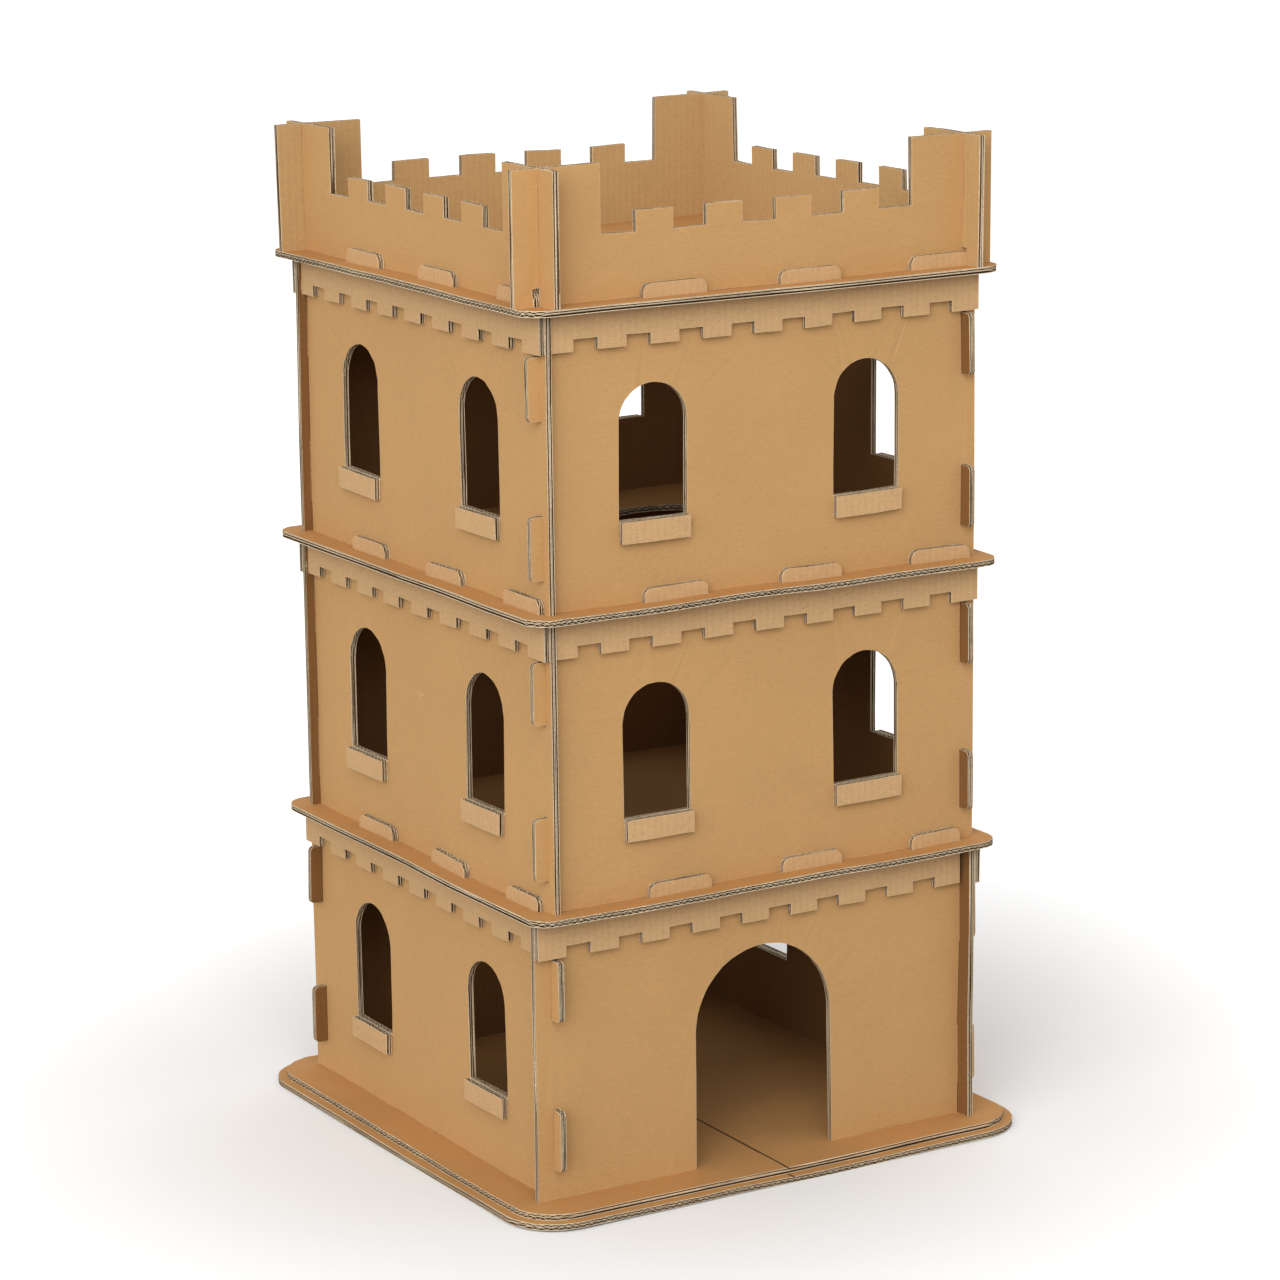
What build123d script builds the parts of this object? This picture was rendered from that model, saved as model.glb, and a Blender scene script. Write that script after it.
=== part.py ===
# Cardboard castle: a three-storey tower of slotted and folded corrugated sheets.
# +Z is up, the doorway faces -Y, and the origin is the middle of the underside.
from build123d import *
import os

# Board
board = 6.5  # thickness of the double-wall corrugated board
fold_gap = 0.6  # space left between the two layers of a flap folded flat
hinge_depth = 1.2  # liner left uncut along a fold
slip = 0.4  # clearance round a tab in its slot, and at a butted end

# Tower
tower_width = 500  # outside to outside of the walls, the same both ways
wall_height = 294.5

# Base, two sheets with the smaller one on top
lower_base_overhang = 54
lower_base_corner = 60
upper_base_overhang = 44
upper_base_corner = 50
crease_width = 3
crease_depth = 0.8

# Decks
deck_overhang = 28
deck_corner = 24
hatch_radius = 95
hatch_centre = (105, 68)  # on the middle deck, from the tower's axis

# Corner tabs and the slots that they pass through
side_tab_foot = 33  # lower tab, above the wall's foot
side_tab_length = 63
side_tab_hem_gap = 2.5  # between the upper tab and the frieze
side_tab_proud = 14.5  # beyond the neighbour's outer face
side_tab_corner = 5

# Frieze: the wall's top edge folded out and down, with a crenellated hem
frieze_height = 39
crenel_depth = 11.5
crenel_width = 27.5
crenel_count = 8

# Deck tabs: cut from the top of the wall, upright in line with the frieze
deck_tab_width = 72
deck_tab_pitch = 158.5
deck_tab_count = 3
deck_tab_rise = 14  # above the deck
deck_tab_corner = 9

# Windows and doorway
window_width = 78
window_height = 135
window_spacing = 250
sill_height = 81.5  # above the wall's foot
sill_drop = 21.5  # height of the flap folded down outside
door_width = 165
door_height = 227

# Tongues under the ground walls, standing in the upper base sheet
tongue_width = 60
tongue_spacing = 300

# Parapet: four crossing panels with a tower at each end and merlons between
parapet_overhang = 28
parapet_height = 133
crenel_sill_height = 64.5
merlon_height = 21
merlon_width = 41.5
merlon_count = 4
corner_tower_width = 97
tab_notch_headroom = 4  # over the deck tab of the storey below

# Seen from outside, the slotted end of a wall is on the right where hand is 1 and
# on the left where it is -1. It runs past the corner by reach, and the windows move
# towards it by window_shift. The crenels are spread over the frieze, or as far as the
# corner where they run on over the fold.
storeys = {
    "ground": {"hand": -1, "reach": 18, "setback": 4, "window_shift": 6, "to_corner": False},
    "middle": {"hand": 1, "reach": 10, "setback": 0, "window_shift": 0, "to_corner": True},
    "upper": {"hand": 1, "reach": 10, "setback": 0, "window_shift": 0, "to_corner": True},
}
sides = {"front": 0, "right": 90, "back": 180, "left": 270}
hatch_turns = {"lower": 180, "middle": 0, "top": -90}

half = tower_width / 2
butt_end = half - board - slip  # where a wall meets its neighbour's inner face
wall_line = half - board / 2  # middle of a wall's thickness
frieze_line = half + fold_gap + board / 2  # middle of the folded layer's thickness
storey_pitch = wall_height + board
base_top = 2 * board


def outer_face(turn, level):
    """Outer face of a wall: x to the right as seen from outside, y up."""
    outward = Vector(0, -1, 0).rotate(Axis.Z, turn)
    along = Vector(1, 0, 0).rotate(Axis.Z, turn)
    return Plane(origin=outward * half + Vector(0, 0, level), x_dir=along, z_dir=outward)


def deck_tab_spans(storey):
    """Start and end of each deck tab, along the wall from the tower's axis."""
    starts = [
        half - deck_tab_width - step * deck_tab_pitch
        for step in reversed(range(deck_tab_count))
    ]
    spans = [(start, start + deck_tab_width) for start in starts]
    if storey["hand"] < 0:
        # the last tab stops with the frieze, short of the neighbouring wall
        spans[-1] = (starts[-1], butt_end - storey["setback"])
    return spans


def arched_opening(across, foot, width, height):
    """Round-headed opening cut from the current sketch."""
    head = foot + height - width / 2
    with Locations((across, (foot + head) / 2)):
        Rectangle(width, head - foot, mode=Mode.SUBTRACT)
    with Locations((across, head)):
        Circle(width / 2, mode=Mode.SUBTRACT)


def wall_sheet(label, storey, turn, level, doorway=False, tongues=False):
    """One wall with its frieze, deck tabs and sills, cut and folded from one sheet."""
    hand = storey["hand"]
    slotted_end = half + storey["reach"]
    frieze_end = butt_end - storey["setback"]
    tab_end = half + side_tab_proud
    hem = wall_height - frieze_height
    side_tab_feet = (side_tab_foot, hem - side_tab_hem_gap - side_tab_length)
    crenels_end = half if storey["to_corner"] else frieze_end
    crenel_pitch = (slotted_end + crenels_end + crenel_width) / (crenel_count + 1)
    tab_length = board + deck_tab_rise
    tab_spans = deck_tab_spans(storey)
    windows = []
    if not doorway:
        windows = [
            side * window_spacing / 2 + hand * storey["window_shift"] for side in (-1, 1)
        ]

    with BuildPart() as wall:
        # body, with the corner tabs at its butted end
        with BuildSketch(outer_face(turn, level)):
            with Locations((hand * (slotted_end - butt_end) / 2, wall_height / 2)):
                Rectangle(slotted_end + butt_end, wall_height)
            for foot in side_tab_feet:
                root = butt_end - 2 * side_tab_corner
                with Locations((-hand * (tab_end + root) / 2, foot + side_tab_length / 2)):
                    RectangleRounded(tab_end - root, side_tab_length, side_tab_corner)
            if tongues:
                with Locations((-tongue_spacing / 2, -board / 2), (tongue_spacing / 2, -board / 2)):
                    Rectangle(tongue_width, board)
            for foot in side_tab_feet:
                with Locations((hand * wall_line, foot + side_tab_length / 2)):
                    Rectangle(board + 2 * slip, side_tab_length + 2 * slip, mode=Mode.SUBTRACT)
            for start, end in tab_spans:
                with Locations(((start + end) / 2, wall_height)):
                    RectangleRounded(
                        end - start, 2 * tab_length, deck_tab_corner, mode=Mode.SUBTRACT
                    )
            for across in windows:
                arched_opening(across, sill_height, window_width, window_height)
            if doorway:
                arched_opening(0, 0, door_width, door_height)
        extrude(amount=-board)

        # liner hinges along the folds
        with BuildSketch(outer_face(turn, level)):
            with Locations((hand * (slotted_end - frieze_end) / 2, wall_height - hinge_depth / 2)):
                Rectangle(slotted_end + frieze_end, hinge_depth)
            for start, end in tab_spans:
                with Locations(((start + end) / 2, wall_height - hinge_depth / 2)):
                    Rectangle(end - start, hinge_depth, mode=Mode.SUBTRACT)
            for across in windows:
                with Locations((across, sill_height - hinge_depth / 2)):
                    Rectangle(window_width, hinge_depth)
        extrude(amount=fold_gap)

        # folded layer: frieze, deck tabs and sills
        with BuildSketch(outer_face(turn, level).offset(fold_gap)):
            with Locations((hand * (slotted_end - frieze_end) / 2, hem + frieze_height / 2)):
                Rectangle(slotted_end + frieze_end, frieze_height)
            with Locations((hand * (slotted_end - crenels_end) / 2, hem + crenel_depth / 2)):
                with GridLocations(crenel_pitch, 0, crenel_count, 1):
                    Rectangle(crenel_width, crenel_depth, mode=Mode.SUBTRACT)
            for start, end in tab_spans:
                root = 2 * deck_tab_corner
                with Locations(((start + end) / 2, wall_height + (tab_length - root) / 2)):
                    RectangleRounded(end - start, tab_length + root, deck_tab_corner)
            for across in windows:
                with Locations((across, sill_height - sill_drop / 2)):
                    Rectangle(window_width, sill_drop)
        extrude(amount=board)

    wall.part.label = label
    export_step(wall.part, f"parts/{label}.step")


def base_sheet(label, level, overhang, corner, slotted):
    """Base sheet with a crease across its middle."""
    side = tower_width + 2 * overhang
    top = level + board
    with BuildPart() as sheet:
        with BuildSketch(Plane.XY.offset(level)):
            RectangleRounded(side, side, corner)
            if slotted:
                with PolarLocations(wall_line, len(sides), start_angle=-90):
                    with Locations((0, -tongue_spacing / 2), (0, tongue_spacing / 2)):
                        Rectangle(board + 2 * slip, tongue_width + 2 * slip, mode=Mode.SUBTRACT)
        extrude(amount=board)
        with BuildSketch(Plane.XZ.offset(-side / 2)):
            with BuildLine():
                Polyline(
                    (-crease_width / 2, top),
                    (0, top - crease_depth),
                    (crease_width / 2, top),
                    close=True,
                )
            make_face()
        extrude(amount=side, mode=Mode.SUBTRACT)

    sheet.part.label = label
    export_step(sheet.part, f"parts/{label}.step")


def deck_sheet(label, level, hatch_turn, storey_below):
    """Deck with a round hatch and slots for the deck tabs of the storey below."""
    side = tower_width + 2 * deck_overhang
    hatch = Vector(*hatch_centre).rotate(Axis.Z, hatch_turn)
    with BuildPart() as deck:
        with BuildSketch(Plane.XY.offset(level)):
            RectangleRounded(side, side, deck_corner)
            with Locations((hatch.X, hatch.Y)):
                Circle(hatch_radius, mode=Mode.SUBTRACT)
            for start, end in deck_tab_spans(storey_below):
                with PolarLocations(frieze_line, len(sides), start_angle=-90):
                    with Locations((0, (start + end) / 2)):
                        Rectangle(board + 2 * slip, end - start + 2 * slip, mode=Mode.SUBTRACT)
        extrude(amount=board)

    deck.part.label = label
    export_step(deck.part, f"parts/{label}.step")


def parapet_panel(label, turn, level, slots_open_up):
    """Parapet panel, lapped with its neighbours at both crossings."""
    end = half + parapet_overhang
    between_towers = 2 * (end - corner_tower_width)
    merlon_pitch = (between_towers + merlon_width) / (merlon_count + 1)
    notch_width = fold_gap + board + slip
    notch_height = deck_tab_rise + tab_notch_headroom
    lap = parapet_height / 2
    slot_foot = lap if slots_open_up else 0
    slot_head = parapet_height if slots_open_up else lap + slip
    with BuildPart() as panel:
        with BuildSketch(outer_face(turn, level)):
            with Locations((0, crenel_sill_height / 2)):
                Rectangle(2 * end, crenel_sill_height)
            with Locations((0, crenel_sill_height + merlon_height / 2)):
                with GridLocations(merlon_pitch, 0, merlon_count, 1):
                    Rectangle(merlon_width, merlon_height)
            with Locations((0, parapet_height / 2)):
                with GridLocations(2 * end - corner_tower_width, 0, 2, 1):
                    Rectangle(corner_tower_width, parapet_height)
            with Locations((0, (slot_foot + slot_head) / 2)):
                with GridLocations(2 * wall_line, 0, 2, 1):
                    Rectangle(board + 2 * slip, slot_head - slot_foot, mode=Mode.SUBTRACT)
            with Locations((-half - notch_width / 2, notch_height / 2)):
                Rectangle(notch_width, notch_height, mode=Mode.SUBTRACT)
        extrude(amount=-board)

    panel.part.label = label
    export_step(panel.part, f"parts/{label}.step")


os.makedirs("parts", exist_ok=True)

base_sheet("base_lower_sheet", 0, lower_base_overhang, lower_base_corner, slotted=False)
base_sheet("base_upper_sheet", board, upper_base_overhang, upper_base_corner, slotted=True)

floor = base_top
for (storey_name, storey), (deck_name, hatch_turn) in zip(storeys.items(), hatch_turns.items()):
    on_base = floor == base_top
    for side_name, turn in sides.items():
        wall_sheet(
            f"{storey_name}_{side_name}_wall",
            storey,
            turn,
            floor,
            doorway=on_base and side_name == "front",
            tongues=on_base,
        )
    deck_sheet(f"{deck_name}_deck", floor + wall_height, hatch_turn, storey)
    floor += storey_pitch

for side_name, turn in sides.items():
    parapet_panel(f"{side_name}_parapet", turn, floor, slots_open_up=side_name in ("front", "back"))
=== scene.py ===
import math

import bpy
from mathutils import Matrix, Vector


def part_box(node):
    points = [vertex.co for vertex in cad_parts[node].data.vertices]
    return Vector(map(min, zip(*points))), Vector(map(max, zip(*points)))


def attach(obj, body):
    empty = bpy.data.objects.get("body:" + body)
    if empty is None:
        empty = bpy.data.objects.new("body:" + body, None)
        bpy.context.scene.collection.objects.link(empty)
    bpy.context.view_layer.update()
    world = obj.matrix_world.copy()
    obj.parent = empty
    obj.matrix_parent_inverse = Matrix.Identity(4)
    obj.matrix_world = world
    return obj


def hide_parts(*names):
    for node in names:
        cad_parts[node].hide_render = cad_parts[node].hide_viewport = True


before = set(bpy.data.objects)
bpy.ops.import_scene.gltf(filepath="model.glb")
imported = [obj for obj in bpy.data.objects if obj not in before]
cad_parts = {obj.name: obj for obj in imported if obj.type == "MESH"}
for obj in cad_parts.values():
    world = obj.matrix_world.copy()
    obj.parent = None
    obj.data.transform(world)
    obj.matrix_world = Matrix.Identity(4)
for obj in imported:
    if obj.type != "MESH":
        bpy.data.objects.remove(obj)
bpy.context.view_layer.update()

# Cardboard castle: every sheet is rebuilt as real double-wall board, three liners
# with two fluted layers between them, so its cut edges show the flutes.


def rgb(red, green, blue):
    # an 8-bit colour as the shaders want it
    def lin(value):
        value /= 255
        return value / 12.92 if value <= 0.04045 else ((value + 0.055) / 1.055) ** 2.4
    return (lin(red), lin(green), lin(blue), 1)


def deselectAll():
    if bpy.context.object and bpy.context.object.mode != "OBJECT":
        bpy.ops.object.mode_set(mode="OBJECT")
    bpy.ops.object.select_all(action="DESELECT")


def makeActive(thing):
    deselectAll()
    thing.select_set(True)
    bpy.context.view_layer.objects.active = thing


def copyOf(thing, name):
    twin = thing.copy()
    twin.data = thing.data.copy()
    twin.name = twin.data.name = name
    twin.parent = None
    for key in list(twin.keys()):
        del twin[key]
    bpy.context.scene.collection.objects.link(twin)
    return twin


def joinAll(things, name):
    deselectAll()
    for thing in things:
        thing.select_set(True)
    bpy.context.view_layer.objects.active = things[0]
    bpy.ops.object.join()
    things[0].name = things[0].data.name = name
    return things[0]


def place(thing, matrix):
    thing.data.transform(matrix)
    thing.matrix_world = Matrix.Identity(4)


boardSet = {
    "thickness": 0.0065,
    "foldGap": 0.0006,
    "liner": 0.00065,
    "middleLiner": 0.0005,
    "coarsePitch": 0.0079,  # the flutes behind the inner liner
    "coarseDepth": 0.0027,
    "finePitch": 0.0063,  # the flutes behind the outer liner
    "medium": 0.00045,  # thickness of the fluted paper
    "play": 0.00003,  # keeps the papers from sharing faces
    "overcut": 0.0002,  # the outer liners reach this far past the sheet, so the cut is clean
    "fluteSteps": 6,  # straight runs in one flute
    "fluteWeld": 0.0001,
    "outlineWeld": 0.00001,
}


def slab(low, high, width, length):
    deselectAll()
    bpy.ops.mesh.primitive_cube_add(size=1, location=(0, 0, (low + high) / 2))
    piece = bpy.context.object
    piece.scale = (width, length, high - low)
    bpy.ops.object.transform_apply(location=True, rotation=True, scale=True)
    return piece


def flutedPaper(low, high, pitch, width, length):
    # one flute is shaped from a grid, repeated across the board and given thickness
    steps = boardSet["fluteSteps"]
    swing = (high - low - boardSet["medium"]) / 2 - boardSet["play"]
    deselectAll()
    bpy.ops.mesh.primitive_grid_add(x_subdivisions=steps, y_subdivisions=1, size=1)
    piece = bpy.context.object
    piece.scale = (pitch, length, 1)
    bpy.ops.object.transform_apply(location=True, rotation=True, scale=True)
    bpy.ops.object.mode_set(mode="EDIT")
    for step in range(steps + 1):
        bpy.ops.mesh.select_all(action="DESELECT")
        bpy.ops.object.mode_set(mode="OBJECT")
        here = (step / steps - 0.5) * pitch
        for vert in piece.data.vertices:
            vert.select = abs(vert.co.x - here) < pitch / steps / 4
        bpy.ops.object.mode_set(mode="EDIT")
        lift = swing * math.sin(2 * math.pi * step / steps)
        bpy.ops.transform.translate(value=(0, 0, lift))
    bpy.ops.object.mode_set(mode="OBJECT")
    count = math.ceil(width / pitch)
    row = piece.modifiers.new("row", "ARRAY")
    row.count = count
    row.use_merge_vertices = True
    row.merge_threshold = boardSet["fluteWeld"]
    bpy.ops.object.modifier_apply(modifier="row")
    thick = piece.modifiers.new("thick", "SOLIDIFY")
    thick.thickness = boardSet["medium"]
    thick.offset = 0
    bpy.ops.object.modifier_apply(modifier="thick")
    place(piece, Matrix.Translation((-(count - 1) * pitch / 2, 0, (low + high) / 2)))
    return piece


def boardBlank(name, width, length, folded=False):
    # lies in XY with its flutes along Y, inner face at z = 0; folded adds the layer
    # turned over in front of the outer face
    s = boardSet
    t = s["thickness"]
    coarseTop = s["liner"] + s["coarseDepth"]
    fineFoot = coarseTop + s["middleLiner"]
    papers = [
        slab(-s["overcut"], s["liner"], width, length),
        flutedPaper(s["liner"], coarseTop, s["coarsePitch"], width, length),
        slab(coarseTop, fineFoot, width, length),
        flutedPaper(fineFoot, t - s["liner"], s["finePitch"], width, length),
    ]
    if folded:
        front = 2 * t + s["foldGap"]
        foldedFoot = t + s["foldGap"] + s["liner"]
        papers += [
            slab(t - s["liner"], foldedFoot, width, length),
            flutedPaper(foldedFoot, front - fineFoot, s["finePitch"], width, length),
            slab(front - fineFoot, front - coarseTop, width, length),
            flutedPaper(front - coarseTop, front - s["liner"], s["coarsePitch"], width, length),
            slab(front - s["liner"], front + s["overcut"], width, length),
        ]
    else:
        papers.append(slab(t - s["liner"], t + s["overcut"], width, length))
    return joinAll(papers, name)


def cutSheet(node, blank, lay, name):
    # the CAD solid gives the outline, the blank laid along it gives the papers
    sheet = copyOf(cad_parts[node], name)
    sheet.matrix_world = Matrix.Identity(4)
    makeActive(sheet)
    bpy.ops.object.mode_set(mode="EDIT")
    bpy.ops.mesh.select_all(action="SELECT")
    bpy.ops.mesh.remove_doubles(threshold=boardSet["outlineWeld"])
    bpy.ops.object.mode_set(mode="OBJECT")
    sheet.data.materials.clear()
    papers = copyOf(blank, name + "_papers")
    place(papers, lay)
    cut = sheet.modifiers.new("cut", "BOOLEAN")
    cut.operation = "INTERSECT"
    cut.solver = "EXACT"
    cut.object = papers
    makeActive(sheet)
    bpy.ops.object.modifier_apply(modifier="cut")
    bpy.data.objects.remove(papers)
    return sheet


def splitWideFaces(sheet):
    # only the faces with many corners; the flutes stay in quads
    bpy.ops.object.mode_set(mode="EDIT")
    bpy.ops.mesh.select_mode(type="FACE")
    bpy.ops.mesh.select_all(action="DESELECT")
    bpy.ops.object.mode_set(mode="OBJECT")
    for face in sheet.data.polygons:
        face.select = len(face.vertices) > 4
    bpy.ops.object.mode_set(mode="EDIT")
    bpy.ops.mesh.quads_convert_to_tris()
    bpy.ops.object.mode_set(mode="OBJECT")


def addCuts(sheet, lay, across, along):
    # extra edges, so that the sheet can bow and its cut edges can waver
    makeActive(sheet)
    low = Vector((min(v.co[i] for v in sheet.data.vertices) for i in range(3)))
    high = Vector((max(v.co[i] for v in sheet.data.vertices) for i in range(3)))
    splitWideFaces(sheet)
    bpy.ops.object.mode_set(mode="EDIT")
    for column, spacing in ((0, across), (1, along)):
        normal = Vector(lay.col[column][:3])
        axis = max(range(3), key=lambda i: abs(normal[i]))
        count = max(1, round((high[axis] - low[axis]) / spacing))
        for step in range(1, count):
            point = Vector(low)
            point[axis] = low[axis] + (high[axis] - low[axis]) * step / count
            bpy.ops.mesh.select_all(action="SELECT")
            bpy.ops.mesh.bisect(plane_co=point, plane_no=normal)
    bpy.ops.object.mode_set(mode="OBJECT")
    splitWideFaces(sheet)


def newGroup(name, inputs, outputs):
    group = bpy.data.node_groups.new(name, "ShaderNodeTree")
    for label, kind, value in inputs:
        socket = group.interface.new_socket(label, in_out="INPUT", socket_type=kind)
        if value is not None:
            socket.default_value = value
    for label, kind in outputs:
        group.interface.new_socket(label, in_out="OUTPUT", socket_type=kind)
    return group, group.nodes.new("NodeGroupInput"), group.nodes.new("NodeGroupOutput")


def addNode(tree, kind, **settings):
    node = tree.nodes.new(kind)
    for key, value in settings.items():
        setattr(node, key, value)
    return node


def mathNode(tree, operation, first, second=None, third=None):
    node = addNode(tree, "ShaderNodeMath", operation=operation)
    for slot, value in enumerate((first, second, third)):
        if value is None:
            continue
        if isinstance(value, (int, float)):
            node.inputs[slot].default_value = value
        else:
            tree.links.new(value, node.inputs[slot])
    return node.outputs[0]


def rampNode(tree, value, stops):
    node = addNode(tree, "ShaderNodeValToRGB")
    while len(node.color_ramp.elements) < len(stops):
        node.color_ramp.elements.new(0.5)
    for element, (position, level) in zip(node.color_ramp.elements, stops):
        element.position = position
        element.color = (level, level, level, 1)
    tree.links.new(value, node.inputs[0])
    return node.outputs[0]


fibreSet = {
    "cloudScale": 9,
    "cloudDetail": 5,
    "cloudRoughness": 0.6,
    "fibreScale": 420,
    "fibreDetail": 3,
    "fibreRoughness": 0.65,
    "fleckScale": 1100,
    "fleckDetail": 1,
    "darkFleck": [(0.26, 1), (0.36, 0)],
    "lightFleck": [(0.66, 0), (0.76, 1)],
    "fleckGain": 0.12,
    "roughGain": 0.12,
    "roughFoot": 0.78,
}


def makeFibreGroup():
    # kraft pulp: broad clouds, short fibres lying across the flutes, dark and light flecks
    s = fibreSet
    group, ins, outs = newGroup(
        "kraftFibre",
        [("Vector", "NodeSocketVector", None), ("Base", "NodeSocketColor", (1, 1, 1, 1)),
         ("Clouds", "NodeSocketFloat", 0.06), ("Fibres", "NodeSocketFloat", 0.05),
         ("Flecks", "NodeSocketFloat", 0.3), ("Stretch", "NodeSocketVector", (1, 1, 1))],
        [("Color", "NodeSocketColor"), ("Height", "NodeSocketFloat"), ("Rough", "NodeSocketFloat")],
    )
    links = group.links
    clouds = addNode(group, "ShaderNodeTexNoise")
    clouds.inputs["Scale"].default_value = s["cloudScale"]
    clouds.inputs["Detail"].default_value = s["cloudDetail"]
    clouds.inputs["Roughness"].default_value = s["cloudRoughness"]
    links.new(ins.outputs["Vector"], clouds.inputs["Vector"])
    stretched = addNode(group, "ShaderNodeVectorMath", operation="MULTIPLY")
    links.new(ins.outputs["Vector"], stretched.inputs[0])
    links.new(ins.outputs["Stretch"], stretched.inputs[1])
    fibres = addNode(group, "ShaderNodeTexNoise")
    fibres.inputs["Scale"].default_value = s["fibreScale"]
    fibres.inputs["Detail"].default_value = s["fibreDetail"]
    fibres.inputs["Roughness"].default_value = s["fibreRoughness"]
    links.new(stretched.outputs[0], fibres.inputs["Vector"])
    flecks = addNode(group, "ShaderNodeTexNoise")
    flecks.inputs["Scale"].default_value = s["fleckScale"]
    flecks.inputs["Detail"].default_value = s["fleckDetail"]
    links.new(stretched.outputs[0], flecks.inputs["Vector"])
    darkFleck = rampNode(group, flecks.outputs["Fac"], s["darkFleck"])
    lightFleck = rampNode(group, flecks.outputs["Fac"], s["lightFleck"])
    cloudShift = mathNode(group, "SUBTRACT", clouds.outputs["Fac"], 0.5)
    cloudShift = mathNode(group, "MULTIPLY", cloudShift, ins.outputs["Clouds"])
    fibreShift = mathNode(group, "SUBTRACT", fibres.outputs["Fac"], 0.5)
    fibreShift = mathNode(group, "MULTIPLY", fibreShift, ins.outputs["Fibres"])
    fleckGain = mathNode(group, "MULTIPLY", ins.outputs["Flecks"], s["fleckGain"])
    fleckShift = mathNode(group, "SUBTRACT", lightFleck, darkFleck)
    fleckShift = mathNode(group, "MULTIPLY", fleckShift, fleckGain)
    total = mathNode(group, "ADD", mathNode(group, "ADD", cloudShift, fibreShift), fleckShift)
    gain = mathNode(group, "ADD", mathNode(group, "MULTIPLY", total, 2), 1)
    shade = addNode(group, "ShaderNodeVectorMath", operation="SCALE")
    links.new(ins.outputs["Base"], shade.inputs[0])
    links.new(gain, shade.inputs["Scale"])
    links.new(shade.outputs[0], outs.inputs["Color"])
    links.new(fibres.outputs["Fac"], outs.inputs["Height"])
    rough = mathNode(group, "MULTIPLY", fibres.outputs["Fac"], s["roughGain"])
    rough = mathNode(group, "ADD", rough, s["roughFoot"])
    links.new(rough, outs.inputs["Rough"])
    return group


ribSet = {
    "pitch": 0.0079,
    # the colour multiplied into the ripples is painted shade
    "rippleShade": rgb(232, 224, 210),
    "patchScale": 14,
    "patchDetail": 2,
    "patchMiddle": 0.35,
    "depth": 0.0002,
}


def makeWashboardGroup():
    # the liner sinks a little between the flutes it is glued to; its colour is darkened along the
    # same stripes as painted shade
    group, ins, outs = newGroup(
        "washboard",
        [("Vector", "NodeSocketVector", None), ("Across", "NodeSocketVector", (1, 0, 0)),
         ("Pitch", "NodeSocketFloat", 0.0079), ("Unevenness", "NodeSocketFloat", 0.5)],
        [("Mask", "NodeSocketFloat"), ("Height", "NodeSocketFloat")],
    )
    links = group.links
    along = addNode(group, "ShaderNodeVectorMath", operation="DOT_PRODUCT")
    links.new(ins.outputs["Vector"], along.inputs[0])
    links.new(ins.outputs["Across"], along.inputs[1])
    turns = mathNode(group, "DIVIDE", along.outputs["Value"], ins.outputs["Pitch"])
    phase = mathNode(group, "MULTIPLY", turns, 2 * math.pi)
    wave = mathNode(group, "MULTIPLY", mathNode(group, "SINE", phase), 0.5)
    wave = mathNode(group, "ADD", wave, 0.5)
    patchy = addNode(group, "ShaderNodeTexNoise")
    patchy.inputs["Scale"].default_value = ribSet["patchScale"]
    patchy.inputs["Detail"].default_value = ribSet["patchDetail"]
    links.new(ins.outputs["Vector"], patchy.inputs["Vector"])
    uneven = mathNode(group, "SUBTRACT", patchy.outputs["Fac"], ribSet["patchMiddle"])
    uneven = mathNode(group, "MULTIPLY", uneven, ins.outputs["Unevenness"])
    even = mathNode(group, "SUBTRACT", 1, ins.outputs["Unevenness"])
    strength = mathNode(group, "ADD", uneven, even)
    mask = mathNode(group, "MULTIPLY", wave, strength)
    links.new(mask, outs.inputs["Mask"])
    links.new(mask, outs.inputs["Height"])
    return group


fibreGroup = makeFibreGroup()
washboardGroup = makeWashboardGroup()

rimSet = {
    "width": 0.0011,
    "samples": 4,
    "color": rgb(226, 203, 166),
    "onset": [(0.02, 0), (0.14, 1)],
    "breakUp": 330,
    "patches": [(0.34, 0.25), (0.6, 1)],
}


def wornRim(tree, spot, color, amount):
    # the die roughs up the liner along each cut and leaves it paler
    rounded = addNode(tree, "ShaderNodeBevel", samples=rimSet["samples"])
    rounded.inputs["Radius"].default_value = rimSet["width"]
    flat = addNode(tree, "ShaderNodeNewGeometry")
    match = addNode(tree, "ShaderNodeVectorMath", operation="DOT_PRODUCT")
    tree.links.new(rounded.outputs["Normal"], match.inputs[0])
    tree.links.new(flat.outputs["Normal"], match.inputs[1])
    turn = mathNode(tree, "SUBTRACT", 1, match.outputs["Value"])
    near = rampNode(tree, turn, rimSet["onset"])
    rough = addNode(tree, "ShaderNodeTexNoise")
    rough.inputs["Scale"].default_value = rimSet["breakUp"]
    tree.links.new(spot, rough.inputs["Vector"])
    patchy = rampNode(tree, rough.outputs["Fac"], rimSet["patches"])
    mask = mathNode(tree, "MULTIPLY", mathNode(tree, "MULTIPLY", near, patchy), amount)
    mix = addNode(tree, "ShaderNodeMix", data_type="RGBA")
    mix.inputs["B"].default_value = rimSet["color"]
    tree.links.new(mask, mix.inputs["Factor"])
    tree.links.new(color, mix.inputs["A"])
    return mix.outputs["Result"]


grainSet = {"specular": 0.25, "depth": 0.0004, "stretch": 0.3}


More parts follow.
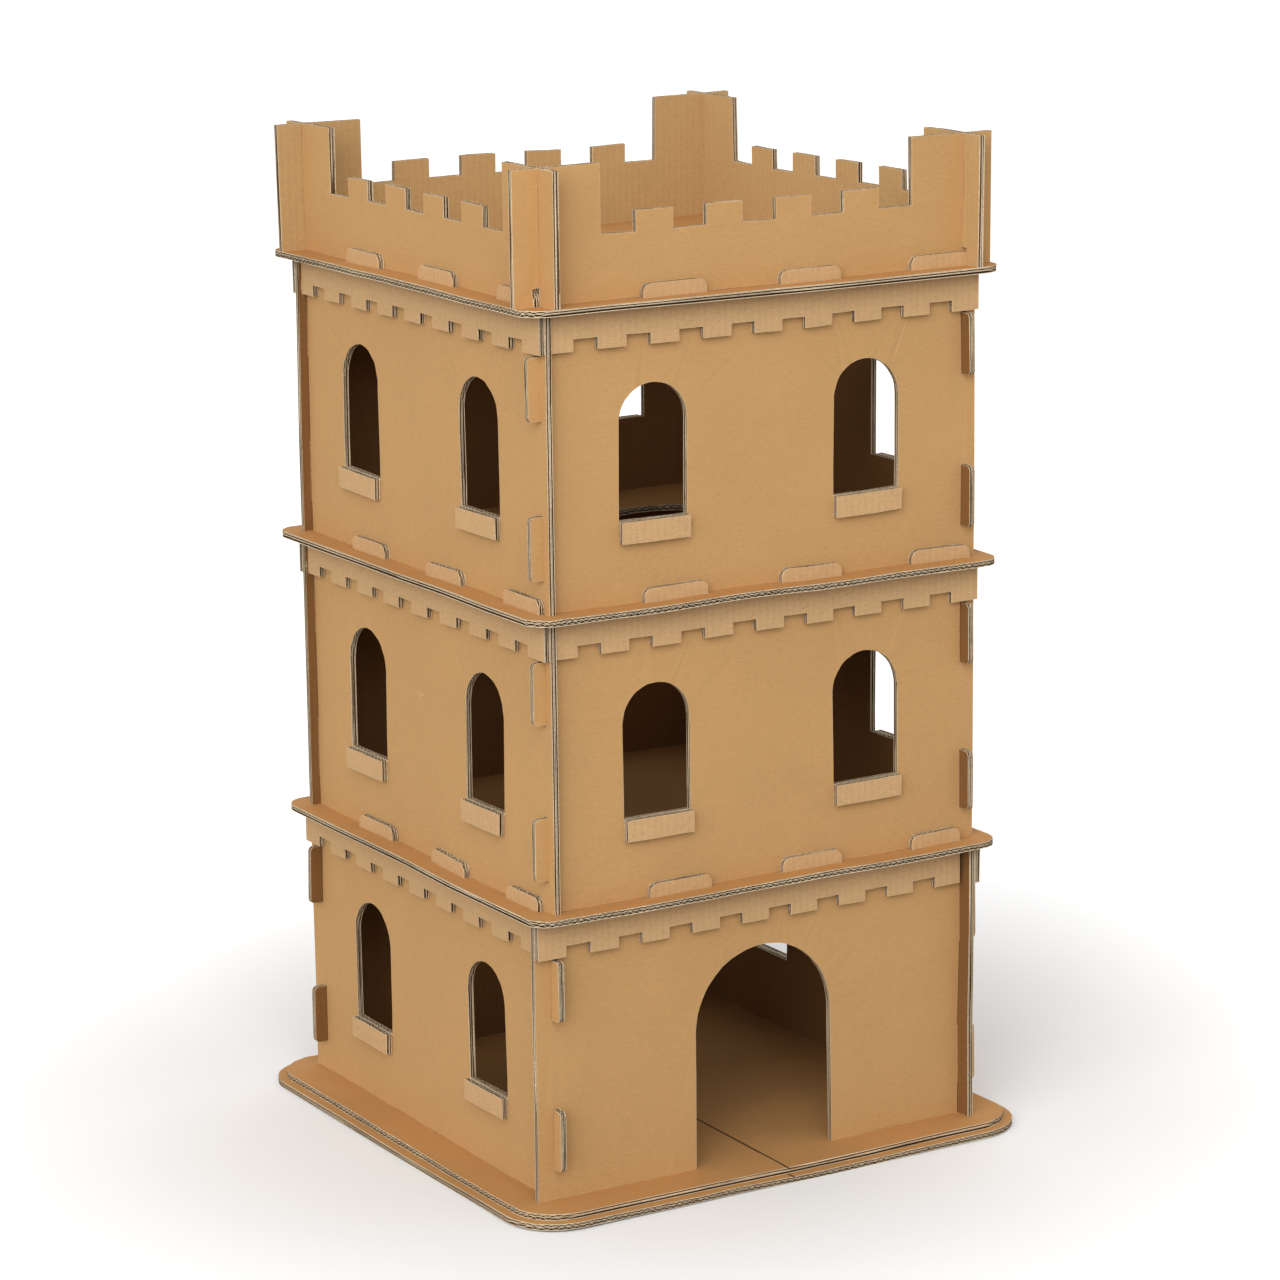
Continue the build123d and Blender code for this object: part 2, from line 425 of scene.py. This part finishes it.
def makePaper(name, settings, across):
    material = bpy.data.materials.new(name)
    material.use_nodes = True
    tree = material.node_tree
    shader = tree.nodes["Principled BSDF"]
    shader.inputs["Specular IOR Level"].default_value = grainSet["specular"]
    spot = addNode(tree, "ShaderNodeTexCoord")
    fibre = addNode(tree, "ShaderNodeGroup", node_tree=fibreGroup)
    fibre.inputs["Base"].default_value = settings["color"]
    fibre.inputs["Clouds"].default_value = settings["clouds"]
    fibre.inputs["Fibres"].default_value = settings["fibres"]
    fibre.inputs["Flecks"].default_value = settings["flecks"]
    long = grainSet["stretch"]
    fibre.inputs["Stretch"].default_value = {"x": (long, 1, 1), "y": (1, long, 1)}[across]
    tree.links.new(spot.outputs["Object"], fibre.inputs["Vector"])
    tree.links.new(fibre.outputs["Rough"], shader.inputs["Roughness"])
    fibreBump = addNode(tree, "ShaderNodeBump")
    fibreBump.inputs["Distance"].default_value = grainSet["depth"]
    fibreBump.inputs["Strength"].default_value = settings["relief"]
    tree.links.new(fibre.outputs["Height"], fibreBump.inputs["Height"])
    color = fibre.outputs["Color"]
    if settings["worn"]:
        color = wornRim(tree, spot.outputs["Object"], color, settings["worn"])
    if settings["washboard"]:
        ribs = addNode(tree, "ShaderNodeGroup", node_tree=washboardGroup)
        ribs.inputs["Across"].default_value = {"x": (1, 0, 0), "y": (0, 1, 0)}[across]
        ribs.inputs["Pitch"].default_value = ribSet["pitch"]
        tree.links.new(spot.outputs["Object"], ribs.inputs["Vector"])
        # painted shade: the liner's colour darkened in stripes along the ripples, where light would
        # shade them
        rippleShade = addNode(tree, "ShaderNodeMix", data_type="RGBA", blend_type="MULTIPLY")
        rippleShade.inputs["B"].default_value = ribSet["rippleShade"]
        shown = mathNode(tree, "MULTIPLY", ribs.outputs["Mask"], settings["washboard"])
        tree.links.new(shown, rippleShade.inputs["Factor"])
        tree.links.new(color, rippleShade.inputs["A"])
        tree.links.new(rippleShade.outputs["Result"], shader.inputs["Base Color"])
        ribBump = addNode(tree, "ShaderNodeBump")
        ribBump.inputs["Distance"].default_value = ribSet["depth"]
        ribBump.inputs["Strength"].default_value = settings["washboard"]
        tree.links.new(ribs.outputs["Height"], ribBump.inputs["Height"])
        tree.links.new(fibreBump.outputs["Normal"], ribBump.inputs["Normal"])
        tree.links.new(ribBump.outputs["Normal"], shader.inputs["Normal"])
    else:
        tree.links.new(color, shader.inputs["Base Color"])
        tree.links.new(fibreBump.outputs["Normal"], shader.inputs["Normal"])
    return material


paperSets = {
    "wallLiner": {"color": rgb(196, 153, 100), "clouds": 0.07, "fibres": 0.10, "flecks": 0.6,
                  "relief": 0.25, "washboard": 0, "worn": 0.8},
    "deckLiner": {"color": rgb(188, 138, 83), "clouds": 0.08, "fibres": 0.10, "flecks": 0.6,
                  "relief": 0.25, "washboard": 0, "worn": 0.8},
    "foldedLiner": {"color": rgb(204, 166, 120), "clouds": 0.07, "fibres": 0.14, "flecks": 0.9,
                    "relief": 0.3, "washboard": 0.3, "worn": 0.8},
    "insideLiner": {"color": rgb(190, 155, 106), "clouds": 0.07, "fibres": 0.12, "flecks": 0.8,
                    "relief": 0.3, "washboard": 0.3, "worn": 0.8},
    # painted shade: the faces inside the tower and under the decks get a much darker copy of the
    # liner paper
    "shadedRoomLiner": {"color": rgb(128, 90, 50), "clouds": 0.07, "fibres": 0.12, "flecks": 0.8,
                  "relief": 0.3, "washboard": 0.3, "worn": 0.8},
    "rawEdge": {"color": rgb(226, 205, 172), "clouds": 0.3, "fibres": 0.6, "flecks": 1.2,
                "relief": 0.8, "washboard": 0, "worn": 0},
    # the fluted paper is kraft brown, darkened further as painted shade so the flute holes look
    # dark
    "flutedPaper": {"color": rgb(96, 68, 40), "clouds": 0.1, "fibres": 0.2, "flecks": 0.5,
                    "relief": 0.3, "washboard": 0, "worn": 0},
}
paperStock = {
    (name, across): makePaper(f"{name}_{across}", settings, across)
    for name, settings in paperSets.items()
    for across in ("x", "y")
}
# the order of a sheet's material slots: outer face, inner face, cut edge, flutes, folded face
paperKinds = {
    "wall": ["wallLiner", "shadedRoomLiner", "rawEdge", "flutedPaper", "foldedLiner"],
    "parapet": ["wallLiner", "insideLiner", "rawEdge", "flutedPaper"],
    "deck": ["deckLiner", "shadedRoomLiner", "rawEdge", "flutedPaper"],
}


# how a face must lie to count as a cut edge or as a liner's surface
faceSet = {"edgeLean": 0.02, "flatLean": 0.97, "depthSlack": 0.00008}


def givePapers(sheet, lay, across, kind):
    # faces by how deep they lie in the board and which way they look
    s = boardSet
    normal = Vector(lay.col[2][:3])
    foot = normal.dot(Vector(lay.col[3][:3]))
    t = s["thickness"]
    for name in paperKinds[kind]:
        sheet.data.materials.append(paperStock[(name, across)])
    levels = ((0, 1), (t, 0), (t + s["foldGap"], 0), (2 * t + s["foldGap"], 4))
    for face in sheet.data.polygons:
        lean = abs(face.normal.dot(normal))
        depth = face.center.dot(normal) - foot
        face.material_index = 3
        if lean < faceSet["edgeLean"]:
            face.material_index = 2
        elif lean > faceSet["flatLean"]:
            for level, index in levels:
                if abs(depth - level) < faceSet["depthSlack"]:
                    face.material_index = index


def changePapers(sheet, across, kind):
    for slotNumber, name in enumerate(paperKinds[kind]):
        sheet.data.materials[slotNumber] = paperStock[(name, across)]


sheetSet = {
    "acrossCuts": 0.032,
    "alongCuts": 0.100,
    "bowScale": 0.20,
    "bow": 0.0045,
    "waverScale": 0.011,
    "waver": 0.0011,
}

bowField = bpy.data.textures.new("bow", "CLOUDS")
bowField.cloud_type = "COLOR"
bowField.noise_scale = sheetSet["bowScale"]
bowField.noise_depth = 1
waverField = bpy.data.textures.new("waver", "CLOUDS")
waverField.cloud_type = "COLOR"
waverField.noise_scale = sheetSet["waverScale"]
waverField.noise_depth = 1


def loosen(sheet):
    # nothing folded by hand is quite flat, and nothing cut by hand quite straight
    makeActive(sheet)
    pushes = (("bow", bowField, sheetSet["bow"]), ("waver", waverField, sheetSet["waver"]))
    for name, field, amount in pushes:
        push = sheet.modifiers.new(name, "DISPLACE")
        push.texture = field
        push.texture_coords = "GLOBAL"
        push.direction = "RGB_TO_XYZ"
        push.mid_level = 0.5
        push.strength = amount
        bpy.ops.object.modifier_apply(modifier=name)


def hangUp(sheet, node):
    loosen(sheet)
    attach(sheet, "root")
    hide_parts(node)


sides = {"front": 0, "right": 90, "back": 180, "left": 270}


def turned(degrees):
    return Matrix.Rotation(math.radians(degrees), 4, "Z")


def uprightLay(node):
    # board X along the wall, board Y up, board Z towards -Y
    low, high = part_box(node)
    inner = high.y
    middle = (low.z + high.z) / 2
    return Matrix(((1, 0, 0, 0), (0, 0, -1, inner), (0, 1, 0, middle), (0, 0, 0, 1)))


def flatLay(node, flutesAlong):
    # board Z up; the flutes run along Y, or along X when the blank is turned
    low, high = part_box(node)
    spin = Matrix.Identity(4) if flutesAlong == "y" else turned(90)
    return Matrix.Translation((0, 0, low.z)) @ spin


# width across the flutes and length along them, a little over the sheets cut from them
blankSet = {"wall": (0.56, 0.34), "panel": (0.57, 0.14), "deck": (0.62, 0.62)}
wallBlank = boardBlank("wallBlank", *blankSet["wall"], folded=True)
panelBlank = boardBlank("panelBlank", *blankSet["panel"])
deckBlank = boardBlank("deckBlank", *blankSet["deck"])
print("board blanks ready")

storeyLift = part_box("middle_front_wall")[0].z


def makeMaster(node, blank, lay, across, kind):
    master = cutSheet(node, blank, lay, node + "_master")
    givePapers(master, lay, across, kind)
    addCuts(master, lay, sheetSet["acrossCuts"], sheetSet["alongCuts"])
    print("cut", node, len(master.data.polygons))
    return master


# walls: the doorway wall, one plain ground wall, one storey wall
groundLay = uprightLay("ground_front_wall")
doorMaster = makeMaster("ground_front_wall", wallBlank, groundLay, "x", "wall")
hangUp(copyOf(doorMaster, "ground_front_wall_sheet"), "ground_front_wall")

groundMaster = makeMaster("ground_back_wall", wallBlank, turned(180) @ groundLay, "x", "wall")
for side, turn in sides.items():
    if side == "front":
        continue
    node = f"ground_{side}_wall"
    sheet = copyOf(groundMaster, node + "_sheet")
    place(sheet, turned(turn - 180))
    if turn % 180:
        changePapers(sheet, "y", "wall")
    hangUp(sheet, node)

storeyLay = uprightLay("middle_front_wall")
storeyMaster = makeMaster("middle_front_wall", wallBlank, storeyLay, "x", "wall")
for storey in ("middle", "upper"):
    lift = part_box(f"{storey}_front_wall")[0].z - storeyLift
    for side, turn in sides.items():
        node = f"{storey}_{side}_wall"
        sheet = copyOf(storeyMaster, node + "_sheet")
        place(sheet, Matrix.Translation((0, 0, lift)) @ turned(turn))
        if turn % 180:
            changePapers(sheet, "y", "wall")
        hangUp(sheet, node)
print("walls ready")

# parapet: front and back lapped from above, left and right from below
panelLay = uprightLay("front_parapet")
frontPanel = makeMaster("front_parapet", panelBlank, panelLay, "x", "parapet")
rightPanel = makeMaster("right_parapet", panelBlank, turned(90) @ panelLay, "y", "parapet")
for side, turn in sides.items():
    node = f"{side}_parapet"
    master, masterTurn = (frontPanel, 0) if turn % 180 == 0 else (rightPanel, 90)
    sheet = copyOf(master, node + "_sheet")
    place(sheet, turned(turn - masterTurn))
    hangUp(sheet, node)
print("parapet ready")

# decks and base
flatSheets = {
    "lower_deck": "y",
    "middle_deck": "y",
    "top_deck": "x",
    "base_lower_sheet": "y",
    "base_upper_sheet": "x",
}
for node, flutesAlong in flatSheets.items():
    across = "x" if flutesAlong == "y" else "y"
    master = makeMaster(node, deckBlank, flatLay(node, flutesAlong), across, "deck")
    sheet = copyOf(master, node + "_sheet")
    hangUp(sheet, node)
    bpy.data.objects.remove(master)
print("decks ready")

masters = (doorMaster, groundMaster, storeyMaster, frontPanel, rightPanel)
for spare in masters + (wallBlank, panelBlank, deckBlank):
    bpy.data.objects.remove(spare)


cameraSet = {
    "spot": (-2.26707, -3.77476, 1.52298),
    "heading": 31.08,  # degrees from +Y towards +X
    "pitch": -12.96,
    "roll": -0.66,
    "lens": 120.63,
    "sensor": 36,
    "farEnd": 200,
}


def addCamera():
    data = bpy.data.cameras.new("camera")
    data.lens = cameraSet["lens"]
    data.sensor_width = cameraSet["sensor"]
    data.clip_end = cameraSet["farEnd"]
    camera = bpy.data.objects.new("camera", data)
    bpy.context.scene.collection.objects.link(camera)
    look = (
        Matrix.Rotation(-math.radians(cameraSet["heading"]), 4, "Z")
        @ Matrix.Rotation(math.radians(90 + cameraSet["pitch"]), 4, "X")
        @ Matrix.Rotation(math.radians(cameraSet["roll"]), 4, "Z")
    )
    camera.matrix_world = Matrix.Translation(cameraSet["spot"]) @ look
    bpy.context.scene.camera = camera


lightSet = {
    "sky": 0.60,
    "floorColor": (0.96, 0.96, 0.96, 1),
    "floorGlow": (0.50, 0.48, 0.46, 1),  # the floor as the castle sees it
    "floorLift": 0.34,  # what the camera sees far out, on top of the floor's own shade
    "liftStart": 0.38,  # metres from the castle's middle, where the lift sets in
    "liftEnd": 1.10,
    "floorSize": 160,
    "floorDrop": 0.0006,
}
# name: where it comes from, strength, spread in degrees
softSuns = {
    "keySun": ((-0.80, -0.42, 0.30), 1.27, 45),
    "backSun": ((0.60, 0.75, 0.55), 0.55, 80),
}

# the large light in front, nearer the top of the tower than its foot
softboxSet = {"spot": (-1.2, -2.2, 2.3), "aim": (0, 0, 1.0), "size": 1.8, "power": 34}


def addLights():
    for name, (source, strength, spread) in softSuns.items():
        sun = bpy.data.lights.new(name, "SUN")
        sun.energy = strength
        sun.angle = math.radians(spread)
        lamp = bpy.data.objects.new(name, sun)
        lamp.rotation_mode = "QUATERNION"
        lamp.rotation_quaternion = Vector(source).to_track_quat("Z", "Y")
        bpy.context.scene.collection.objects.link(lamp)

    softbox = bpy.data.lights.new("softbox", "AREA")
    softbox.shape = "SQUARE"
    softbox.size = softboxSet["size"]
    softbox.energy = softboxSet["power"]
    lamp = bpy.data.objects.new("softbox", softbox)
    lamp.location = softboxSet["spot"]
    lamp.rotation_mode = "QUATERNION"
    aim = Vector(softboxSet["spot"]) - Vector(softboxSet["aim"])
    lamp.rotation_quaternion = aim.to_track_quat("Z", "Y")
    bpy.context.scene.collection.objects.link(lamp)

    world = bpy.data.worlds.new("studio")
    bpy.context.scene.world = world
    world.use_nodes = True
    tree = world.node_tree
    back = tree.nodes["Background"]
    back.inputs["Color"].default_value = (1, 1, 1, 1)
    rays = addNode(tree, "ShaderNodeLightPath")
    seen = mathNode(tree, "MAXIMUM", rays.outputs["Is Camera Ray"], rays.outputs["Is Glossy Ray"])
    seen = mathNode(tree, "MAXIMUM", seen, rays.outputs["Is Transmission Ray"])
    extra = mathNode(tree, "MULTIPLY", seen, 1 - lightSet["sky"])
    strength = mathNode(tree, "ADD", extra, lightSet["sky"])
    tree.links.new(strength, back.inputs["Strength"])


def addFloor():
    deselectAll()
    under = (0, 0, -lightSet["floorDrop"])
    bpy.ops.mesh.primitive_plane_add(size=lightSet["floorSize"], location=under)
    floor = bpy.context.object
    floor.name = "floor"
    bpy.ops.object.transform_apply(location=True, rotation=True, scale=True)
    material = bpy.data.materials.new("palePaperSweep")
    material.use_nodes = True
    tree = material.node_tree
    shader = tree.nodes["Principled BSDF"]
    shader.inputs["Roughness"].default_value = 1
    shader.inputs["Specular IOR Level"].default_value = 0
    shader.inputs["Emission Color"].default_value = (1, 1, 1, 1)
    rays = addNode(tree, "ShaderNodeLightPath")
    tone = addNode(tree, "ShaderNodeMix", data_type="RGBA")
    tone.inputs["A"].default_value = lightSet["floorGlow"]
    tone.inputs["B"].default_value = lightSet["floorColor"]
    tree.links.new(rays.outputs["Is Camera Ray"], tone.inputs["Factor"])
    tree.links.new(tone.outputs["Result"], shader.inputs["Base Color"])
    spot = addNode(tree, "ShaderNodeTexCoord")
    reach = addNode(tree, "ShaderNodeVectorMath", operation="LENGTH")
    tree.links.new(spot.outputs["Object"], reach.inputs[0])
    fade = addNode(tree, "ShaderNodeMapRange", interpolation_type="SMOOTHSTEP")
    fade.inputs["From Min"].default_value = lightSet["liftStart"]
    fade.inputs["From Max"].default_value = lightSet["liftEnd"]
    fade.inputs["To Max"].default_value = lightSet["floorLift"]
    tree.links.new(reach.outputs["Value"], fade.inputs["Value"])
    lift = mathNode(tree, "MULTIPLY", rays.outputs["Is Camera Ray"], fade.outputs["Result"])
    tree.links.new(lift, shader.inputs["Emission Strength"])
    floor.data.materials.append(material)


addCamera()
addLights()
addFloor()
bpy.context.scene.view_settings.view_transform = "Standard"
print("camera, light and floor ready")
